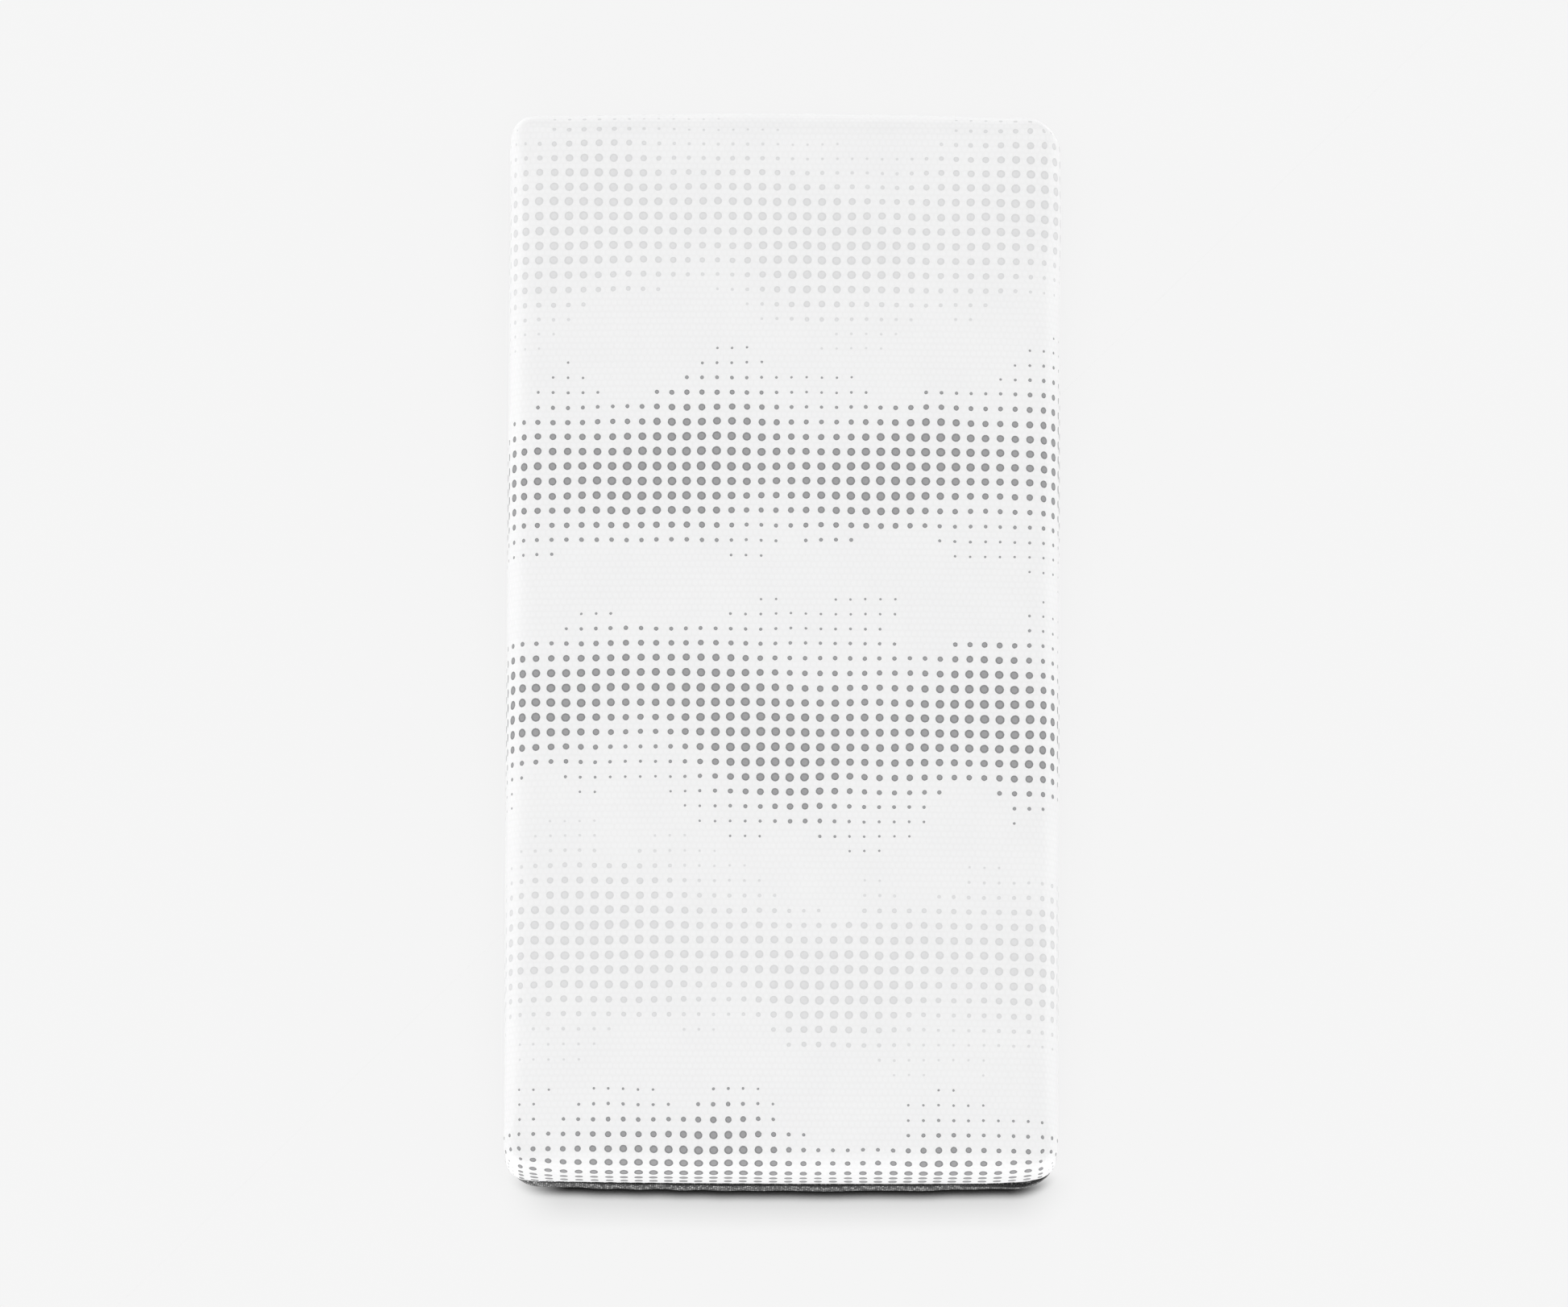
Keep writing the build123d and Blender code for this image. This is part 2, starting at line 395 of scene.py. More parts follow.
def closed_shell(name, material, ring, rows, top, lengths, face_down=False):
    """A mesh of a filled grid, ring rows from its border on, and one face across the last row."""
    points, grid, ids = shell(rows, top)
    turn = slice(None, None, -1 if face_down else 1)
    back = slice(None, None, 1 if face_down else -1)
    b = Builder(points)
    b.put(grid_corners(grid)[:, :, turn], grid_corners(top[..., :2])[:, :, turn] / MM)
    b.put(around(ids)[:, :, turn], strip_fabric(ring, lengths)[:, :, turn])
    b.put(ids[-1, back], rows[-1, back, :2] / MM)
    return b.finish(name, material)


def closed_strip(name, material, ring, rows, lengths, bake=None):
    """A mesh of ring rows whose last row joins the first."""
    b = Builder(rows)
    b.put(around(looped(numbered(rows))), strip_fabric(ring, lengths), bake)
    return b.finish(name, material)


def sleeve(size, sides):
    """Faces round a small solid of this many points, in sections of so many sides."""
    return around(np.arange(size).reshape(-1, sides))[:, :, [0, 3, 2, 1]].reshape(-1, 4)


def repeated(name, material, spots, shapes, smooth_faces=True):
    """A mesh of many copies of one small solid, from each copy's points and its lists of faces."""
    first = np.arange(len(spots)) * spots.shape[1]
    b = Builder(spots)
    for shape in shapes:
        faces = first[:, None, None] + np.array(shape)
        b.put(faces, np.zeros((*faces.shape, 2)))
    return b.finish(name, material, smooth_faces)


def dress(obj, body, node):
    """Gives a finished piece its body and hides the frame's node that it stands for."""
    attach(obj, body)
    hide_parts(node)


# Materials; lengths in their fabric coordinates are in mm


def joined_by(operation):
    """A method that joins a term and another one, or a number, in a math node."""
    return lambda term, other: term.graph.math(operation, term, other)


class Term:
    """An output of a node that takes part in sums as a number does."""

    def __init__(self, graph, socket):
        self.graph = graph
        self.socket = socket

    __add__ = __radd__ = joined_by("ADD")
    __mul__ = __rmul__ = joined_by("MULTIPLY")
    __sub__ = joined_by("SUBTRACT")
    __truediv__ = joined_by("DIVIDE")
    __pow__ = joined_by("POWER")
    __mod__ = joined_by("FLOORED_MODULO")
    __gt__ = joined_by("GREATER_THAN")

    def __rsub__(self, other):
        return self.graph.math("SUBTRACT", other, self)


class Graph:
    """The nodes of a material or of the world, built from short calls."""

    def __init__(self, owner):
        owner.use_nodes = True
        self.tree = owner.node_tree

    def put(self, value, socket):
        if isinstance(value, Term):
            self.tree.links.new(value.socket, socket)
        else:
            socket.default_value = value

    def node(self, kind, inputs=None, **settings):
        """The outputs of a new shader node; inputs go by their name or number."""
        node = self.tree.nodes.new("ShaderNode" + kind)
        for key, value in settings.items():
            setattr(node, key, value)
        for key, value in (inputs or {}).items():
            self.put(value, node.inputs[key])
        return node.outputs

    def term(self, key, kind, inputs=None, **settings):
        return Term(self, self.node(kind, inputs, **settings)[key])

    def math(self, operation, a, b=0.0, c=0.0, clamp=False):
        inputs = {0: a, 1: b, 2: c}
        return self.term(0, "Math", inputs, operation=operation, use_clamp=clamp)

    def wave(self, value, period, phase=0.0):
        return self.math("SINE", self.math("MULTIPLY_ADD", value, math.tau / period, phase))

    def step(self, low, high, value, to_low=0.0, to_high=1.0):
        inputs = dict(enumerate((value, low, high, to_low, to_high)))
        return self.term("Result", "MapRange", inputs, interpolation_type="SMOOTHSTEP")

    def parts(self, vector):
        return [Term(self, out) for out in self.node("SeparateXYZ", {0: vector})]

    def fabric(self):
        uv = self.term(0, "UVMap", uv_map="fabric")
        return uv, *self.parts(uv)[:2]

    def place(self):
        return self.term("Object", "TexCoord")

    def attribute(self, name):
        return self.term("Fac", "Attribute", attribute_name=name)

    def vector(self, x, y, z=0.0):
        return self.term(0, "CombineXYZ", {0: x, 1: y, 2: z})

    def noise(self, vector, scale, detail=2.0, roughness=0.5):
        inputs = {"Vector": vector, "Scale": scale, "Detail": detail, "Roughness": roughness}
        return self.term("Fac", "TexNoise", inputs)

    def scatter(self, vector):
        return self.term("Value", "TexWhiteNoise", {"Vector": vector})

    def mix(self, share, a, b, blend="MIX"):
        """Two colours mixed, each a term or a tuple."""
        a, b = ((*value, 1) if isinstance(value, tuple) else value for value in (a, b))
        inputs = {0: share, 6: a, 7: b}
        return self.term(2, "Mix", inputs, data_type="RGBA", blend_type=blend)

    def shade(self, colour, share):
        """Colour times a grey share."""
        return self.mix(1.0, colour, self.vector(share, share, share), "MULTIPLY")

    def bump(self, height, distance):
        return self.term(0, "Bump", {"Height": height, "Distance": distance})

    def cells(self, u, v, wide, tall):
        """Staggered cells, each a soft pillow: its height, and the cell's column and row."""
        down = v / tall
        row = self.math("FLOOR", down)
        across = u / wide + row % 2.0 * 0.5
        column = self.math("FLOOR", across)
        a = self.math("COSINE", (across - column - 0.5) * math.pi)
        b = self.math("COSINE", (down - row - 0.5) * math.pi)
        return a * b, column, row


class Surface(Graph):
    """The nodes of a new material, round its shader."""

    def __init__(self, name, colour, roughness):
        self.material = bpy.data.materials.new(name)
        super().__init__(self.material)
        self.shader = self.tree.nodes["Principled BSDF"]
        self.done((*colour, 1), roughness=roughness, Specular_IOR_Level=0.3)

    def done(self, colour=None, normal=None, roughness=None, **constants):
        found = {"Base Color": colour, "Normal": normal, "Roughness": roughness}
        for key, value in (found | constants).items():
            if value is not None:
                self.put(value, self.shader.inputs[key.replace("_", " ")])
        return self.material


def dot_print(g, uv, u, v):
    """Halftone waves: how much ink lies at a point, and the ink's colour."""
    across, along = 19.1, 19.4
    band_long = 320.0
    band_start = 580.0
    last_band = 3.99
    least, most = 1.5, 5.7
    drift = g.noise(uv, 0.011, 1.0) - 0.5
    sway = g.noise(g.vector(v, u, 7.0), 0.013, 1.0) - 0.5
    pu = (u + drift * 4.0) / across
    pv = (v + sway * 5.0) / along
    column = g.math("FLOOR", pu)
    row = g.math("FLOOR", pv)
    du = (pu - column - 0.5) * across
    dv = (pv - row - 0.5) * along
    ragged = (g.noise(uv, 0.55, 2.0) - 0.5) * 0.9
    away = g.math("SQRT", du * du + dv * dv) + ragged
    x = (column + 0.5) * across
    y = (row + 0.5) * along
    # Each band of dots swells and fades along the length, on a line that wanders across the width
    wander = g.noise(g.vector(x, y * 0.45, 3.0), 0.0042, 1.0) - 0.5
    bend = wander * 190.0 + g.wave(x, 520.0, 0.6) * 22.0
    phase = g.math("MINIMUM", (y + bend + band_start) / band_long, last_band)
    band = g.math("FLOOR", phase)
    swell = 0.5 - g.math("COSINE", (phase - band) * math.tau) * 0.5
    lean = 0.86 + g.wave(x + band * 110.0, 300.0) * 0.14
    radius = least + g.step(0.0, 0.95, swell * lean) * (most - least)
    # The weakest dots are left out where a slow blotch is high
    blotch = g.step(0.42, 0.6, g.noise(g.vector(x, y, 19.0), 0.0065, 1.0), 0.01, 0.34)
    radius = radius * (swell > blotch) * g.attribute("print")
    ink = g.step(0.3, -0.3, away - radius)
    rim = g.step(0.5, 0.85, away / g.math("MAXIMUM", radius, 0.5))
    patchy = g.noise(uv, 0.9, 3.0, 0.65)
    grain = g.math("ADD", rim * 0.65, (patchy - 0.35) * 0.9, clamp=True)
    dark_dot = g.mix(grain, (0.37, 0.37, 0.375), (0.2, 0.2, 0.205))
    pale_dot = g.mix(grain, (0.74, 0.74, 0.745), (0.66, 0.66, 0.665))
    dark = band % 3.0 > 0.5
    return ink, g.mix(dark, pale_dot, dark_dot)


def printed_knit():
    """Knit of staggered pillows with fine loops in them, the print on it, and painted shade in the
    grooves between the pillows.
    """
    g = Surface("printed_knit", (0.86, 0.86, 0.86), 0.85)
    uv, u, v = g.fabric()
    cell_wide, cell_tall = 7.8, 8.2
    loop_wide, loop_tall = 1.28, 1.6
    soft, column, row = g.cells(u, v, cell_wide, cell_tall)
    loops = g.wave(u, loop_wide) * g.wave(v, loop_tall)
    uneven = g.scatter(g.vector(column, row))
    height = soft**0.6 + loops * 0.07 + uneven * 0.18
    ink, dot = dot_print(g, uv, u, v)
    white = g.mix(g.noise(uv, 0.012, 2.0), (0.845, 0.845, 0.85), (0.88, 0.88, 0.88))
    # Painted shade: the grooves between the pillows are 2 % darker
    colour = g.shade(g.mix(ink, white, dot), g.step(0.0, 0.75, soft, 0.98, 1.0))
    return g.done(colour, g.bump(height, 0.22 * MM), Specular_IOR_Level=0.12)


def charcoal_mesh():
    """Melange mesh: small staggered eyelets of pale and dark yarn in uneven clusters, with painted
    shade at its top and bottom edges.
    """
    g = Surface("charcoal_mesh", (0.17, 0.17, 0.175), 0.9)
    eyelet_wide, eyelet_tall = 2.7, 4.2
    u, v = g.fabric()[1:]
    soft, column, row = g.cells(u + v * 0.35, v, eyelet_wide, eyelet_tall)
    chance = g.scatter(g.vector(column, row, 3.0))
    cluster = g.noise(g.vector(u - v * 0.3, v * 0.45), 0.22, 2.0)
    bright = g.step(0.1, 0.95, chance, 0.1, 1.0) * g.step(0.36, 0.62, cluster, 0.15, 1.0)
    pale = g.step(0.1, 0.7, soft) * bright
    colour = g.mix(pale, (0.024, 0.024, 0.025), (0.72, 0.72, 0.715))
    # Painted shade: black at the top edge where the gap under the hem lies in shadow, wider at the
    # gaping corner, and darker where the cloth rolls under
    painted_gap_shade = g.step(3.5, 7.0, v - g.attribute("gape") * 11.0, 0.05, 1.0)
    colour = g.shade(colour, painted_gap_shade * g.step(27.0, 37.0, v, 1.0, 0.5))
    height = soft**0.5 + chance * 0.25
    return g.done(colour, g.bump(height, 0.3 * MM), Sheen_Weight=0.1, Sheen_Roughness=0.5)


def woven(name, dark, light, wide, tall, rise):
    """Plain weave with two tones of yarn, and painted shade between the yarns."""
    g = Surface(name, light, 0.85)
    u, v = g.fabric()[1:]
    soft, column, row = g.cells(u, v, wide, tall)
    colour = g.mix(g.scatter(g.vector(column, row, 5.0)), dark, light)
    # Painted shade: each yarn cell darkens towards its edges, where the yarns meet
    colour = g.shade(colour, g.step(0.0, 0.8, soft, 0.55, 1.0))
    return g.done(colour, g.bump(soft**0.5, rise), Sheen_Weight=0.1)


def foam(name, light, dark, pore, rise):
    """Cut foam: fine open pores with painted shade in them, and a faint blotchy tone."""
    g = Surface(name, light, 0.95)
    where = g.place()
    holes = g.term("Distance", "TexVoronoi", {"Vector": where, "Scale": 1 / pore})
    open_pore = g.step(0.18, 0.5, holes)
    grain = g.noise(where, 2.5 / pore, 3.0, 0.6)
    blotch = g.noise(where, 14.0, 2.0)
    # Painted shade: the pores take the dark colour
    colour = g.shade(g.mix(open_pore, dark, light), g.step(0.2, 0.8, blotch, 0.95, 1.0))
    return g.done(colour, g.bump(open_pore * 0.7 + grain * 0.5, rise))


def lining_film():
    g = Surface("lining_film", (0.8, 0.83, 0.86), 0.45)
    weave = 1.1
    u, v = g.fabric()[1:]
    crinkle = g.noise(g.place(), 38.0, 4.0, 0.6)
    colour = g.mix(crinkle, (0.76, 0.79, 0.83), (0.85, 0.87, 0.89))
    height = crinkle + g.cells(u, v, weave, weave)[0] * 0.04
    return g.done(colour, g.bump(height, 1.2 * MM), g.step(0.2, 0.8, crinkle, 0.38, 0.55))


def zip_plastic():
    g = Surface("zip_chain", (0.02, 0.02, 0.022), 0.35)
    grain = g.noise(g.place(), 900.0, 2.0)
    colour = g.mix(grain, (0.014, 0.014, 0.016), (0.03, 0.03, 0.032))
    return g.done(colour, g.bump(grain, 0.05 * MM), g.step(0.2, 0.8, grain, 0.28, 0.45))


def zip_metal():
    g = Surface("zip_metal", (0.05, 0.05, 0.055), 0.35)
    where = g.place()
    grain = g.noise(where, 700.0, 3.0)
    worn = g.step(0.6, 0.75, g.noise(where, 260.0, 3.0, 0.7))
    colour = g.mix(worn, (0.035, 0.035, 0.038), (0.16, 0.16, 0.165))
    gloss = g.step(0.2, 0.8, grain, 0.25, 0.42)
    return g.done(colour, g.bump(grain, 0.04 * MM), gloss, Metallic=0.6)


def thread(name, light, dark):
    g = Surface(name, light, 0.7)
    twist = g.noise(g.place(), 1800.0, 1.0)
    return g.done(g.mix(twist, dark, light), g.bump(twist, 0.08 * MM), Sheen_Weight=0.2)


KNIT = printed_knit()
MESH = charcoal_mesh()
BASE_CLOTH = woven("base_cloth", (0.07, 0.07, 0.072), (0.15, 0.15, 0.155), 1.6, 1.3, 0.3 * MM)
TAPE = woven("zip_tape", (0.010, 0.010, 0.011), (0.028, 0.028, 0.03), 1.2, 0.7, 0.2 * MM)
# Each foam's second colour is the painted shade in its pores
MEMORY = foam("memory_foam", (0.85, 0.83, 0.70), (0.70, 0.66, 0.50), 1.6 * MM, 0.5 * MM)
SUPPORT = foam("support_foam", (0.88, 0.88, 0.86), (0.72, 0.72, 0.69), 2.3 * MM, 0.7 * MM)
FILM = lining_film()
PLASTIC = zip_plastic()
METAL = zip_metal()
WHITE_THREAD = thread("white_thread", (0.86, 0.86, 0.86), (0.7, 0.7, 0.7))
GREY_THREAD = thread("grey_thread", (0.1, 0.1, 0.103), (0.05, 0.05, 0.052))


# Soft unevenness and the cloth simulation


def ring_noise(ring, spread, count, low, high):
    """Smooth random swing round a ring, from waves that go low to high times round it."""
    turn = ring.run[:-1] / ring.run[-1] * math.tau
    total = np.zeros(ring.count)
    for _ in range(count):
        waves = rng.integers(low, high)
        total += np.sin(waves * turn + rng.uniform(0, math.tau))
    return total * spread / math.sqrt(count)


def plane_noise(plan, spread, count, low, high):
    """Smooth random swing over the plan; wave lengths from low to high."""
    total = np.zeros(plan.shape[:-1])
    for _ in range(count):
        size = rng.uniform(low, high)
        way = rng.uniform(0, math.tau)
        phase = rng.uniform(0, math.tau)
        along = plan[..., 0] * math.cos(way) + plan[..., 1] * math.sin(way)
        total += np.sin(math.tau / size * along + phase)
    return total * spread / math.sqrt(count)


def inflate(points, faces, hold, pressure, cap):
    """Cloth pushed out by its filling for a few frames; returns how far each point moved, capped.

    hold is how firmly each point stays: 1 on the hem and where the foam carries the top.
    """
    frames = 20
    mesh = bpy.data.meshes.new("sim")
    mesh.from_pydata(points.tolist(), [], faces)
    obj = link("sim", mesh)
    scene = bpy.context.scene
    pin = obj.vertex_groups.new(name="pin")
    push = obj.vertex_groups.new(name="push")
    for k, held in enumerate(hold):
        pin.add([k], float(held), "REPLACE")
        push.add([k], float(1 - held), "REPLACE")
    cloth = obj.modifiers.new("cloth", "CLOTH")
    settings = cloth.settings
    settings.quality = 6
    settings.mass = 0.25
    settings.tension_stiffness = 20
    settings.compression_stiffness = 20
    settings.shear_stiffness = 8
    settings.bending_stiffness = 2
    settings.use_pressure = True
    settings.uniform_pressure_force = pressure
    settings.vertex_group_mass = "pin"
    settings.vertex_group_pressure = "push"
    settings.effector_weights.gravity = 0
    cloth.collision_settings.use_collision = False
    cloth.collision_settings.use_self_collision = False
    cloth.point_cache.frame_start = 1
    cloth.point_cache.frame_end = frames
    for step in range(1, frames + 1):
        scene.frame_set(step)
    done = obj.evaluated_get(bpy.context.evaluated_depsgraph_get())
    moved = np.zeros(len(points) * 3)
    done.data.vertices.foreach_get("co", moved)
    shift = moved.reshape(-1, 3) - points
    scene.frame_set(1)
    bpy.data.objects.remove(obj)
    bpy.data.meshes.remove(mesh)
    size = np.linalg.norm(shift, axis=1, keepdims=True)
    return shift * np.tanh(size / cap) * cap / np.maximum(size, 1e-9)


def finer(values, axis, closed):
    """Twice as many values along an axis; a closed axis joins its ends, others keep them."""
    between = (values + np.roll(values, -1, axis)) / 2
    both = np.stack([values, between], axis + 1)
    shape = list(values.shape)
    shape[axis] *= 2
    both = both.reshape(shape)
    return both if closed else np.delete(both, -1, axis)


def blown_up(ring, rows, top, drop):
    """The rows and the top of a shell whose sides start a little in and swell as cloth."""
    start_in = 2.2 * MM
    cap = 3.2 * MM
    free = smooth(drop[-1] - 4 * MM, drop[-1] - 40 * MM, drop) * smooth(0, 40 * MM, drop)
    slack = (1 + 0.9 * ring.normal[:, 0] ** 2) * (1 - ring.near_corner(60 * MM, 60 * MM))
    in_by = start_in * free[:, None] * slack
    rows = rows.copy()
    rows[:, :, :2] -= ring.normal * in_by[:, :, None]
    half_top = top[::2, ::2]
    points, grid, ids = shell(rows[::2, ::2], half_top)
    faces = grid_corners(grid).reshape(-1, 4).tolist() + around(ids).reshape(-1, 4).tolist()
    hold = np.zeros(len(points))
    hold[grid] = smooth(TOP_IN - 5 * MM, TOP_IN + 70 * MM, from_edge(half_top))
    hold[ids[-2:]] = 1
    shift = inflate(points, faces, hold, PRESSURE, cap)
    top = top + finer(finer(shift[grid], 0, False), 1, False)
    rows = rows + finer(finer(shift[ids], 0, False), 1, True)
    return rows, top


# Printed cover: top, rolled edge, side and hem in one closed padded shell

PRESSURE = 1.5
FOLD_ROWS = 4
HEM_RAISE = 2.5 * MM


def cover_outside():
    """Profile of the cover's outside from the top of the roll down to the hem."""
    belly_z = HEM_Z - BELLY_DROP + BELLY_R
    belly_turn = math.degrees(math.asin((BELLY_R - BELLY_DROP) / BELLY_R))
    roll = (ROLL_IN, EDGE_Z - ROLL_IN)
    profile = arc((ROLL_IN + EASE_IN, EDGE_Z - EASE_R), EASE_R, TOP_TURN, 90 - EASE_TURN, 3)
    profile += arc(roll, ROLL_R, 90 - EASE_TURN, EASE_TURN, 7, first=False)
    profile += arc((EASE_R, EASE_Z), EASE_R, EASE_TURN, 0, 4, first=False)
    profile += line((0, EASE_Z), (0, belly_z), 8)
    return profile + arc((BELLY_R, belly_z), BELLY_R, 0, -belly_turn, 4, first=False)


def cover_tucks(ring, profile, drop):
    """Further insets of the cover: no two corners are quite alike, in the roll, side or hem."""
    tighter = 11 * MM * ring.near_corner(60 * MM, 60 * MM)
    roll_share = np.array(profile)[:, 0] / TOP_IN * smooth(drop[-1], 0, drop)
    rounder = core_inset(ring, 0) * ring.by_corner(0.35, 0.35, 0.2, 1.0)
    hem_share = smooth(drop[-1] - 30 * MM, drop[-1], drop)
    tuck = (core_inset(ring, HEM_IN) - HEM_IN) * ring.by_corner(0.0, 0.6, 0.2, 0.0)
    side = (1 - roll_share)[:, None] * rounder
    return side + hem_share[:, None] * tuck - roll_share[:, None] * tighter


def shaped_ends(plan):
    """Plan points of the cover with squarer corners at the foot and a fuller bow at the head."""
    across = (plan[..., 0] / HALF_W) ** 2
    y = plan[..., 1]
    foot = 3 * MM * across * smooth(-0.56, -0.66, y)
    head = 2 * MM * (1 - across) * smooth(0.56, 0.66, y)
    return np.stack([plan[..., 0], y - foot + head], -1)


def soften(ring, rows, top, drop):
    """Slow swells of the top, and a hem that puckers and lifts a little at the corners."""
    top[:, :, 2] += plane_noise(top[:, :, :2], 0.45 * MM, 9, 60 * MM, 190 * MM)
    pucker = ring_noise(ring, 0.35 * MM, 9, 110, 260)
    sway = ring_noise(ring, 0.5 * MM, 5, 9, 40)
    lift = ring.near_corner(70 * MM, 60 * MM) * ring.by_corner(0, 11.5 * MM, 1.5 * MM, 1.5 * MM)
    lift = lift + sway + HEM_RAISE
    rows[:, :, 2] += smooth(drop[-1] - 34 * MM, drop[-1], drop)[:, None] * lift
    close = smooth(drop[-1] - 16 * MM, drop[-1], drop)[:, None] * pucker
    # The side is a little fuller over the parked slider
    beside = np.exp(-(((ring.point[:, 1] - PARK_Y) / (80 * MM)) ** 2)) * (ring.point[:, 0] > 0)
    full = smooth(0, 40 * MM, drop) * smooth(drop[-1] - 6 * MM, drop[-1] - 40 * MM, drop)
    out = close + full[:, None] * 2.6 * MM * beside
    rows[:, :, :2] += ring.normal * out[:, :, None]


def flap_fabric(ring, base, profile, lengths):
    """Flat-cut coordinates of the sides, hung off the edge of the top like an unfolded box."""
    angle_end = ring.angle + wrap(np.roll(ring.angle, -1) - ring.angle)
    ends = ((base, ring.angle, ring.anchor), (np.roll(base, -1, 0), angle_end, ring.anchor_end))
    flat = np.zeros((len(lengths), 2, ring.count, 2))
    for end, (point, angle, anchor) in enumerate(ends):
        away = np.stack([np.cos(anchor), np.sin(anchor)], 1)
        along = np.stack([-np.sin(anchor), np.cos(anchor)], 1)
        turn = wrap(angle - anchor)
        for r, length in enumerate(lengths):
            fan = (TOP_IN - profile[r][0]) * turn
            flat[r, end] = point + away * length + along * fan[:, None]
    return np.stack([flat[:-1, 0], flat[1:, 0], flat[1:, 1], flat[:-1, 1]], 2)


def cover_inside(ring, hem):
    """Rows of the hem's fold, the rebate for the tape and the inside, from the hem inward."""
    rows = []
    tape_gap = core_inset(ring, TAPE_IN) - core_inset(ring, HEM_IN)
    for k in range(1, FOLD_ROWS + 1):
        a = math.pi * k / FOLD_ROWS
        inward = tape_gap / 2 * (1 - math.cos(a))
        plan = hem[:, :2] - ring.normal * inward[:, None]
        rows.append(with_height(plan, hem[:, 2] - HEM_T / 2 * math.sin(a)))
    for inset, z in (
        (TAPE_IN, hem[:, 2] + HEM_T),
        (TAPE_IN, REBATE_TOP),
        (COVER_T, REBATE_TOP + 0.5 * MM),
        (COVER_T, EDGE_Z - ROLL_R),
        (COVER_T + 7 * MM, EDGE_Z - 12 * MM),
        (ROLL_R, EDGE_Z - COVER_T),
    ):
        rows.append(with_height(ring.at(core_inset(ring, inset)), z))
    return np.array(rows)


def print_mask(ring, ids, rows, drop, size, top_size):
    """Where the print shows: on the top and sides, not in the corner folds or inside."""
    mask = np.zeros(size)
    mask[:top_size] = 1
    hem_fade = smooth(drop[-1] + 1 * MM, drop[-1] - 5 * MM, drop)
    folds = [0, ring.long, ring.long + ring.short, 2 * ring.long + ring.short]
    for r, row in enumerate(rows[:, :, :2]):
        away = np.linalg.norm(row[:, None] - row[folds], axis=2).min(1)
        fold = smooth(8 * MM, 2 * MM, away)
        mask[ids[r]] = (1 - smooth(0, 5 * MM, drop[r]) * fold) * hem_fade[r]
    return mask


def top_cover():
    ring = Ring(252, 120, 4, CORNER_R)
    profile = cover_outside()
    drop = run_along(profile)
    flat_rows = rows_from(ring, profile, cover_tucks(ring, profile, drop))
    flat_rows[:, :, :2] = shaped_ends(flat_rows[:, :, :2])
    plan = fill_grid(ring, flat_rows[0, :, :2])
    rows, top = blown_up(ring, flat_rows, with_height(plan, TOP_Z + crown_lift(plan)), drop)
    soften(ring, rows, top, drop)
    points, grid, ids = shell(rows, top)
    half_net = np.array([HALF_W - TOP_IN + drop[-1], LENGTH / 2 - TOP_IN + drop[-1]]) + 4 * MM
    free = half_net - drop[-1] + 26 * MM  # the net leaves its corners free for the inside
    room = half_net - free

    def on_net(place):
        return place / half_net / 2 + 0.5

    b = Builder(points)
    top_fabric = grid_corners(plan)
    side_fabric = flap_fabric(ring, flat_rows[0, :, :2], profile, drop)
    b.put(grid_corners(grid), top_fabric / MM, on_net(top_fabric))
    b.put(around(ids), side_fabric / MM, on_net(side_fabric))
    inner = cover_inside(ring, rows[-1])
    inner_ids = np.concatenate([ids[-1:], numbered(inner, b.add(inner))])
    lengths = np.arange(len(inner) + 1) * 10 * MM
    strip = strip_fabric(ring, lengths) * MM
    strip_place = free + strip / np.array([ring.run[-1], lengths[-1]]) * room
    b.put(around(inner_ids), strip / MM + 4000, on_net(strip_place))
    ceiling = inner[-1, :, :2]
    ceiling_place = -free - room / 2 + ceiling / np.array([HALF_W, LENGTH / 2]) * room / 2
    b.put(inner_ids[-1], ceiling / MM + 9000, on_net(ceiling_place))
    obj = b.finish("top_cover_knit", KNIT)
    point_values(obj, "print", print_mask(ring, ids, rows, drop, len(b.points), grid.size))
    dress(obj, "cover", "top_cover")
    return rows


# Base: border with rolled lower edge, and the bottom panel

BASE_CORNER_IN = 2.2 * MM
BORDER_SAG = 8 * MM
BAKE_SHELVES = 8


def base_pull(ring):
    """How far the lower edge of the base draws in further round the corners."""
    near = ring.near_corner(140 * MM, 70 * MM)
    return near * ring.by_corner(0.2, 0.4, 1.0, 1.0) * BASE_CORNER_IN


def base_rows(ring, profile):
    """Ring rows for a profile of the base, drawn in like that low down."""
    low_share = smooth(30 * MM, 8 * MM, np.array(profile)[:, 1:])
    return rows_from(ring, profile, low_share * base_pull(ring))


def border_outside():
    """Profile of the border's outside from its upper edge down and in to the panel's seam."""
    border_in = HEM_IN - BASE_SET_IN
    rise = math.sqrt(BASE_BELLY_R**2 - (BASE_BELLY_R - border_in) ** 2)
    turn = math.degrees(math.asin(rise / BASE_BELLY_R))
    roll_in = BASE_SET_IN + BASE_ROLL_R
    profile = arc((BASE_SET_IN + BASE_BELLY_R, BORDER_Z - rise), BASE_BELLY_R, turn, 0, 5)
    profile += line((BASE_SET_IN, BORDER_Z - rise), (BASE_SET_IN, BASE_ROLL_R), 5)
    profile += arc((roll_in, BASE_ROLL_R), BASE_ROLL_R, 0, -90, 8, first=False)
    return profile + line((roll_in, 0), (PANEL_SEAM_IN, 0.2 * MM), 3)


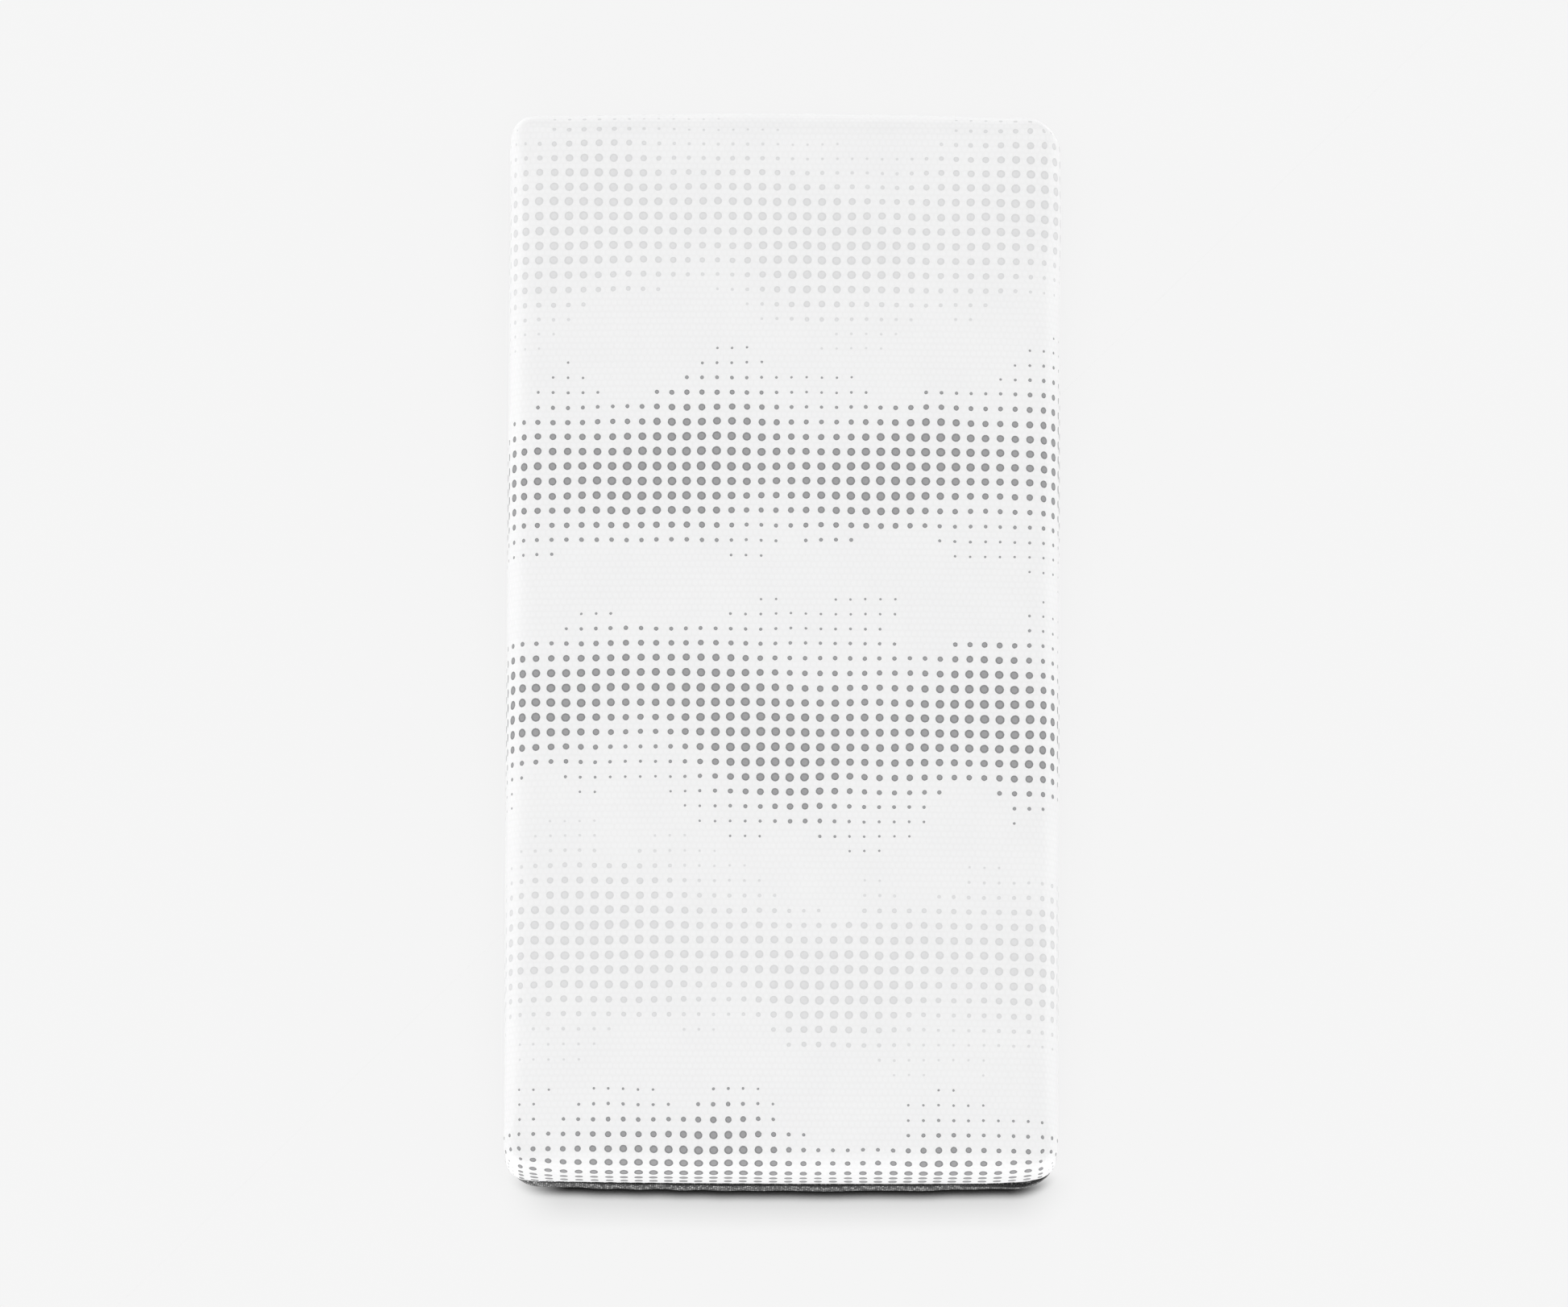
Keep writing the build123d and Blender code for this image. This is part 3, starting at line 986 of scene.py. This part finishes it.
def base_border():
    ring = Ring(252, 120, 6, CORE_CORNER_R)
    outside = border_outside()
    profile = outside + [
        (PANEL_SEAM_IN, PANEL_T),
        (COVER_T + 10 * MM, PANEL_T),
        (COVER_T + 2 * MM, PANEL_T + 5 * MM),
        (COVER_T, BASE_ROLL_R),
        (COVER_T, REBATE_LOW - 0.5 * MM),
        (TAPE_IN, REBATE_LOW),
        (TAPE_IN, BORDER_Z - 0.6 * MM),
        (TAPE_IN - 0.5 * MM, BORDER_Z),
    ]
    rows = base_rows(ring, profile)
    swell = ring_noise(ring, 0.45 * MM, 7, 20, 90)
    for r, (inset, z) in enumerate(outside):
        share = smooth(BORDER_Z, 36 * MM, z) * smooth(0, 8 * MM, z)
        rows[r, :, :2] += ring.normal * (swell * share)[:, None]
    # One corner gapes: the border sags off the zip there
    gape = ring.near_corner(100 * MM, 50 * MM) * ring.by_corner(0, 1, 0, 0)
    rows[:, :, 2] -= smooth(REBATE_LOW, BORDER_Z, rows[:, :, 2]) * gape * BORDER_SAG
    lengths = run_along(looped(profile))
    bake = stacked_bake(ring, lengths, BAKE_SHELVES)
    obj = closed_strip("base_border_mesh", MESH, ring, rows, lengths, bake)
    # The material paints the shade in the gap under the hem wider where the corner gapes
    point_values(obj, "gape", np.tile(gape, len(rows)))
    dress(obj, "base", "base_border")
    return rows


def base_panel():
    ring = Ring(60, 30, 3, CORE_CORNER_R)
    under_z = 0.25 * MM
    edge = ring.at(PANEL_SEAM_IN + base_pull(ring))
    plan = fill_grid(ring, edge)
    ripple = 0.4 * MM + plane_noise(plan, 0.12 * MM, 6, 80 * MM, 200 * MM)
    lifted = smooth(PANEL_SEAM_IN, PANEL_SEAM_IN + 40 * MM, from_edge(plan)) * ripple
    rows = np.array([with_height(edge, under_z), with_height(edge, PANEL_T)])
    under = with_height(plan, under_z + lifted)
    obj = closed_shell("base_panel_cloth", BASE_CLOTH, ring, rows, under, [0, PANEL_T], True)
    dress(obj, "base", "base_panel")


# Foam core


def foam_block(name, material, node, profile, uneven_top):
    ring = Ring(120, 60, 4, CORE_CORNER_R)
    rows = base_rows(ring, profile)
    wobble = np.abs(ring_noise(ring, 0.25 * MM, 6, 15, 80))
    rows[1:-1, :, :2] -= ring.normal * wobble[:, None]
    plan = fill_grid(ring, rows[0, :, :2])
    dips = np.abs(plane_noise(plan, uneven_top, 7, 60 * MM, 160 * MM))
    top = with_height(plan, profile[0][1] - dips)
    obj = closed_shell(name, material, ring, rows, top, run_along(profile))
    dress(obj, "base", node)


def foam_core():
    roll = ROLL_R - FOAM_IN
    memory = arc((ROLL_R, FOAM_TOP - roll), roll, 90, 0, 8)
    memory += line((FOAM_IN, FOAM_TOP - roll), (FOAM_IN, FOAM_SPLIT), 4)
    foam_block("memory_foam_layer", MEMORY, "memory_foam", memory, 0.3 * MM)
    bevel = 6.4 * MM
    joint = FOAM_SPLIT - 0.05 * MM
    support = [(FOAM_IN + 0.4 * MM, joint)]
    support += line((FOAM_IN, joint - 0.5 * MM), (FOAM_IN, FOAM_LOW + bevel), 10, first=True)
    support += line((FOAM_IN, FOAM_LOW + bevel), (FOAM_IN + bevel, FOAM_LOW), 2)
    foam_block("support_foam_block", SUPPORT, "support_foam", support, 0.0)


# Lining inside the cover


def cover_lining():
    ring = Ring(60, 30, 3, CORE_CORNER_R)
    low = ZIP_Z + LINING_UP
    back = LINING_IN + LINING_T

    def face(inset, roll_in, roll_down):
        return [
            (ROLL_R, EDGE_Z - inset),
            (inset + roll_in, EDGE_Z - roll_down),
            (inset, EDGE_Z - ROLL_R),
            (inset, low + 10 * MM),
            (inset, low),
        ]

    outside = face(LINING_IN, 7.2 * MM, 12.4 * MM)
    profile = face(back, 6.9 * MM, 13 * MM) + outside[::-1]
    rows = rows_from(ring, profile)
    plan = fill_grid(ring, rows[0, :, :2])
    ceiling = with_height(plan, EDGE_Z - back)
    lengths = run_along(profile)
    obj = closed_shell("cover_lining_film", FILM, ring, rows, ceiling, lengths, True)
    dress(obj, "cover", "cover_lining")


# Zip: tapes and toothed half chains

LAP = 2.6 * MM
LAP_GAP = 0.05 * MM
LAP_T = 0.12 * MM
TOOTH_PITCH = 2.4 * MM
TOOTH_HALF = 0.85 * MM
TOOTH_TIP_HALF = 0.5 * MM


def zip_tape(node, body, low, high, lap=0.0):
    """A tape; a lap is a thin edge of it that hangs behind the split and keeps the foam hidden."""
    ring = Ring(120, 60, 6, CORE_CORNER_R)
    back = TAPE_IN + TAPE_T
    profile = line((TAPE_IN, high), (TAPE_IN, low), 6, first=True)
    if lap:
        profile += [(back + LAP_GAP, low), (back + LAP_GAP, low - lap)]
        back += LAP_GAP + LAP_T
    profile += line((back, low - lap), (back, high), 6, first=True)
    lengths = run_along(looped(profile))
    obj = closed_strip(f"{node}_cloth", TAPE, ring, rows_from(ring, profile), lengths)
    dress(obj, body, node)


def sampled(run, values, places):
    """Values round a closed ring at places along its run."""
    return np.stack([np.interp(places % run[-1], run, part) for part in looped(values).T], 1)


def unit(vectors):
    return vectors / np.linalg.norm(vectors, axis=1, keepdims=True)


def zip_teeth(name, node, body, mid_z, open_from, offset):
    """A half chain: moulded teeth, wide at the tape and narrow at the front."""
    ring = Ring(600, 300, 40, CORE_CORNER_R)
    count = int(ring.run[-1] / TOOTH_PITCH)
    places = (np.arange(count) + offset) * ring.run[-1] / count
    point = sampled(ring.run, ring.point, places)
    normal = unit(sampled(ring.run, ring.normal, places))
    x, y = point.T
    toothed = (x < 0) | (y <= open_from) | (y >= ZIP_END_START)
    point, normal = point[toothed], normal[toothed]
    along = np.stack([-normal[:, 1], normal[:, 0]], 1)
    half = CHAIN_W / 2
    layers = (
        (TAPE_IN, TOOTH_HALF, half),
        (TAPE_IN - 0.8 * CHAIN_T, TOOTH_HALF, half),
        (CHAIN_IN, TOOTH_TIP_HALF, half * 0.6),
    )
    corners = []
    for inset, wide, tall in layers:
        for sw, sz in SQUARE:
            plan = point - normal * inset + along * (sw * wide)
            corners.append(with_height(plan, mid_z + sz * tall))
    tooth = [(3, 2, 1, 0), (8, 9, 10, 11), *sleeve(len(corners), len(SQUARE))]
    obj = repeated(name, PLASTIC, np.stack(corners, 1), [tooth], smooth_faces=False)
    dress(obj, body, node)


def zipper():
    top = SPLIT_HIGH + TAPE_W
    bottom = SPLIT_LOW - TAPE_W
    zip_tape("zipper_tape_upper", "cover", SPLIT_HIGH, top, LAP)
    zip_tape("zipper_tape_lower", "base", bottom, SPLIT_LOW)
    upper_z = SPLIT_HIGH + CHAIN_W / 2
    lower_z = SPLIT_LOW - CHAIN_W / 2
    zip_teeth("zipper_teeth_upper", "zipper_chain_upper", "cover", upper_z, ZIP_END_LOW, 0.0)
    zip_teeth("zipper_teeth_lower", "zipper_chain_lower", "base", lower_z, ZIP_END_STOP, 0.5)
    for name in ("zipper_slider", "zipper_pull", "zipper_end_stop", "zipper_start_stop"):
        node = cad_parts[name]
        node.data.materials.clear()
        node.data.materials.append(METAL)


# Stitching


def stitching(name, body, rows, row_at, material):
    """A row of stitches that follows the ring rows of a finished piece."""
    pitch = 4.2 * MM
    stitch = 0.8 * pitch
    radius = 0.32 * MM
    sides = 6
    low = int(row_at)
    fall = rows[low + 1] - rows[low]
    path = rows[low] + fall * (row_at - low)
    run = run_along(looped(path))
    slope = unit(fall)
    count = int(run[-1] / pitch)
    middles = (np.arange(count) + 0.5) * run[-1] / count
    verts = []
    sections = (
        (-0.5, -0.7, 0.55),
        (-0.38, 0.35, 1),
        (0, 0.75, 1),
        (0.38, 0.35, 1),
        (0.5, -0.7, 0.55),
    )
    for share, rise, thick in sections:  # place along the stitch, height and size in radii
        place = middles + share * stitch
        centre = sampled(run, path, place)
        down = sampled(run, slope, place)
        ahead = unit(sampled(run, path, place + 1 * MM) - centre)
        out = np.cross(down, ahead)
        for k in range(sides):
            a = math.tau * k / sides
            lift = (rise + thick * math.sin(a)) * radius
            verts.append(centre + out * lift + down * (thick * math.cos(a) * radius))
    ends = [range(sides)[::-1], range(len(verts) - sides, len(verts))]
    shapes = [sleeve(len(verts), sides), ends]
    obj = repeated(name, material, np.stack(verts, 1), shapes)
    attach(obj, body)


cover_rows = top_cover()
border_rows = base_border()
base_panel()
foam_core()
cover_lining()
zipper()
hem_at = len(cover_rows) - 2.4
border_at = 1.6
stitching("cover_hem_stitching", "cover", cover_rows, hem_at, WHITE_THREAD)
stitching("base_border_stitching", "base", border_rows, border_at, GREY_THREAD)


# Floor, light and camera

BACKDROP = 0.916
FLOOR_Z = -0.6 * MM
FLOOR_HALF = 40.0
CLOSE_SHADOW = 20 * MM
WIDE_SHADOW = 55 * MM
GLOW_SHARE = 0.96


def seen_directly(g):
    """1 for what the camera sees directly, in a mirror or through glass."""
    path = g.node("LightPath")
    rays = ("Is Camera Ray", "Is Glossy Ray", "Is Transmission Ray")
    direct, glossy, through = (Term(g, path[ray]) for ray in rays)
    return g.math("MAXIMUM", g.math("MAXIMUM", direct, glossy), through)


def floor():
    """Pale floor, evenly bright to the camera, with a close shadow that is deepest at the foot."""
    g = Surface("floor", (BACKDROP, BACKDROP, BACKDROP), 0.9)
    where = g.place()
    tone = g.mix(g.noise(where, 0.6), (0.905, 0.905, 0.905), (0.915, 0.915, 0.915))
    x, y, _ = g.parts(where)
    close, wide = (
        g.term("AO", "AmbientOcclusion", {"Distance": reach}, samples=16)
        for reach in (CLOSE_SHADOW, WIDE_SHADOW)
    )
    across = g.step(-0.36, -0.27, x) * g.step(0.4, 0.29, x)
    at_foot = across * g.step(-0.665, -0.69, y)
    deep = g.step(0.49, 0.93, close, 0.02, 1.0) * wide**0.58
    faint = g.step(0.12, 0.48, close) * (0.98 + wide * 0.02)
    shadow = at_foot * deep + (1.0 - at_foot) * faint
    material = g.done(g.shade(tone, shadow))
    glow = g.term(0, "Emission", {"Strength": shadow * BACKDROP})
    lit = Term(g, g.shader.outputs[0])
    mixed = g.term(0, "MixShader", {0: seen_directly(g) * GLOW_SHARE, 1: lit, 2: glow})
    g.put(mixed, g.tree.nodes["Material Output"].inputs["Surface"])
    corners = [(sx * FLOOR_HALF, sy * FLOOR_HALF, FLOOR_Z) for sx, sy in SQUARE]
    mesh = bpy.data.meshes.new("floor")
    mesh.from_pydata(corners, [], [(0, 1, 2, 3)])
    mesh.materials.append(material)
    link("floor", mesh)


def studio(ambient):
    """Even white surroundings: ambient light on the object, the backdrop's tone to the camera."""
    world = bpy.data.worlds.new("studio")
    bpy.context.scene.world = world
    g = Graph(world)
    level = g.step(0.0, 1.0, seen_directly(g), ambient, BACKDROP)
    background = g.tree.nodes["Background"]
    background.inputs["Color"].default_value = (1, 1, 1, 1)
    g.put(level, background.inputs["Strength"])


def sun(name, azimuth, elevation, strength):
    """Soft light from a direction; azimuth 0 comes from the foot, 90 from +X."""
    lamp = bpy.data.lights.new(name, "SUN")
    lamp.energy = strength
    lamp.angle = math.radians(35)
    obj = link(name, lamp)
    obj.rotation_euler = (math.radians(90 - elevation), 0, math.radians(azimuth))


def camera():
    """Long lens from the foot end, high up, as wide as the photograph's frame of 1946 pixels."""
    lens_mm = 600.0
    sensor_mm = 36.0
    frame_px = 1946
    px_per_m = 968.5
    elevation = math.radians(77.0)
    azimuth = math.radians(0.25)
    look_x, look_z = 1.2 * MM, 52 * MM
    data = bpy.data.cameras.new("camera")
    data.lens = lens_mm
    data.sensor_width = sensor_mm
    data.clip_end = 200
    obj = link("camera", data)
    bpy.context.scene.camera = obj
    away = frame_px / px_per_m * lens_mm / sensor_mm
    level = away * math.cos(elevation)
    height = look_z + away * math.sin(elevation)
    obj.location = (look_x + level * math.sin(azimuth), -level * math.cos(azimuth), height)
    obj.rotation_euler = (math.pi / 2 - elevation, 0, azimuth)


bpy.context.scene.view_settings.view_transform = "Standard"
floor()
studio(ambient=0.545)
sun("foot_light", 0, 25, 1.26)
sun("left_light", -90, 18, 1.1)
sun("right_light", 90, 18, 0.95)
sun("head_light", 180, 20, 1.08)
camera()
